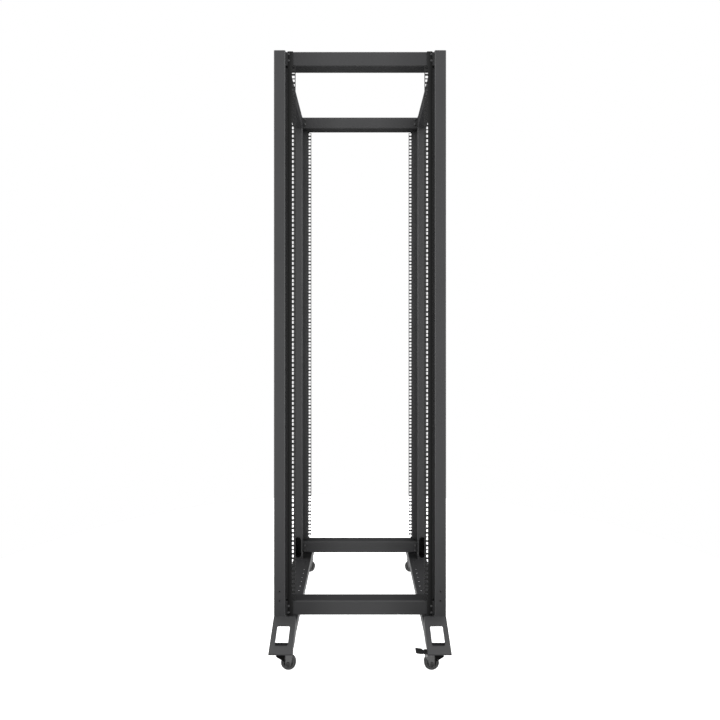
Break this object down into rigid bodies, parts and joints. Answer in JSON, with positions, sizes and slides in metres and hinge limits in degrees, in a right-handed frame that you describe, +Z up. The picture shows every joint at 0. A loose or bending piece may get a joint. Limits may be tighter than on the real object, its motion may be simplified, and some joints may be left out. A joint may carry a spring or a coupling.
{
  "type": "four post open frame rack",
  "caption": "Open frame equipment rack with square-hole mounting rails at front and rear, cross beams, sloping feet and swivel casters, one with a brake pedal.",
  "frame": {"origin": "centre of the footprint, on the floor", "axes": "+X to the right as seen from the front, +Y to the back, +Z up"},
  "size_m": [0.6, 0.982, 2.1099],
  "materials": {
    "frame_powder": "black satin powder coat",
    "caster_steel": "black coated pressed steel",
    "bright_steel": "bright zinc plated steel",
    "tyre_rubber": "dark grey moulded rubber",
    "hub_plastic": "black moulded plastic"
  },
  "bodies": {
    "frame": {"post_front_left": "frame_powder", "rail_front_left": "frame_powder", "foot_front_left": "frame_powder", "caster_plate_front_left": "bright_steel", "post_front_right": "frame_powder", "rail_front_right": "frame_powder", "foot_front_right": "frame_powder", "caster_plate_front_right": "bright_steel", "post_rear_left": "frame_powder", "rail_rear_left": "frame_powder", "foot_rear_left": "frame_powder", "caster_plate_rear_left": "bright_steel", "post_rear_right": "frame_powder", "rail_rear_right": "frame_powder", "foot_rear_right": "frame_powder", "caster_plate_rear_right": "bright_steel", "top_beam_front": "frame_powder", "top_beam_rear": "frame_powder", "bottom_beam_front": "frame_powder", "bottom_beam_rear": "frame_powder", "top_side_beam_left": "frame_powder", "top_side_beam_right": "frame_powder", "base_rail_left": "frame_powder", "base_rail_right": "frame_powder"},
    "swivel_front_left": {"caster_fork_front_left": "caster_steel", "caster_axle_front_left": "caster_steel"},
    "wheel_front_left": {"caster_tyre_front_left": "tyre_rubber", "caster_hub_front_left": "hub_plastic"},
    "swivel_front_right": {"caster_fork_front_right": "caster_steel", "caster_axle_front_right": "caster_steel", "pedal_pin": "bright_steel"},
    "wheel_front_right": {"caster_tyre_front_right": "tyre_rubber", "caster_hub_front_right": "hub_plastic"},
    "swivel_rear_left": {"caster_fork_rear_left": "caster_steel", "caster_axle_rear_left": "caster_steel"},
    "wheel_rear_left": {"caster_tyre_rear_left": "tyre_rubber", "caster_hub_rear_left": "hub_plastic"},
    "swivel_rear_right": {"caster_fork_rear_right": "caster_steel", "caster_axle_rear_right": "caster_steel"},
    "wheel_rear_right": {"caster_tyre_rear_right": "tyre_rubber", "caster_hub_rear_right": "hub_plastic"},
    "pedal": {"brake_pedal": "hub_plastic"}
  },
  "joints": [
    {"name": "caster_swivel_front_left", "type": "hinge", "parent": "frame", "child": "swivel_front_left", "pos_m": [-0.261, -0.438, 0.058], "axis": [0, 0, 1], "continuous": true},
    {"name": "wheel_spin_front_left", "type": "hinge", "parent": "swivel_front_left", "child": "wheel_front_left", "pos_m": [-0.239, -0.438, 0.025], "axis": [0, 1, 0], "continuous": true},
    {"name": "caster_swivel_front_right", "type": "hinge", "parent": "frame", "child": "swivel_front_right", "pos_m": [0.261, -0.438, 0.058], "axis": [0, 0, 1], "continuous": true},
    {"name": "wheel_spin_front_right", "type": "hinge", "parent": "swivel_front_right", "child": "wheel_front_right", "pos_m": [0.239, -0.438, 0.025], "axis": [0, 1, 0], "continuous": true},
    {"name": "caster_swivel_rear_left", "type": "hinge", "parent": "frame", "child": "swivel_rear_left", "pos_m": [-0.261, 0.438, 0.058], "axis": [0, 0, 1], "continuous": true},
    {"name": "wheel_spin_rear_left", "type": "hinge", "parent": "swivel_rear_left", "child": "wheel_rear_left", "pos_m": [-0.239, 0.438, 0.025], "axis": [0, 1, 0], "continuous": true},
    {"name": "caster_swivel_rear_right", "type": "hinge", "parent": "frame", "child": "swivel_rear_right", "pos_m": [0.261, 0.438, 0.058], "axis": [0, 0, 1], "continuous": true},
    {"name": "wheel_spin_rear_right", "type": "hinge", "parent": "swivel_rear_right", "child": "wheel_rear_right", "pos_m": [0.239, 0.438, 0.025], "axis": [0, 1, 0], "continuous": true},
    {"name": "pedal_press", "type": "hinge", "parent": "swivel_front_right", "child": "pedal", "pos_m": [0.221, -0.438, 0.053], "axis": [0, -1, 0], "range_deg": [0, 15]}
  ]
}
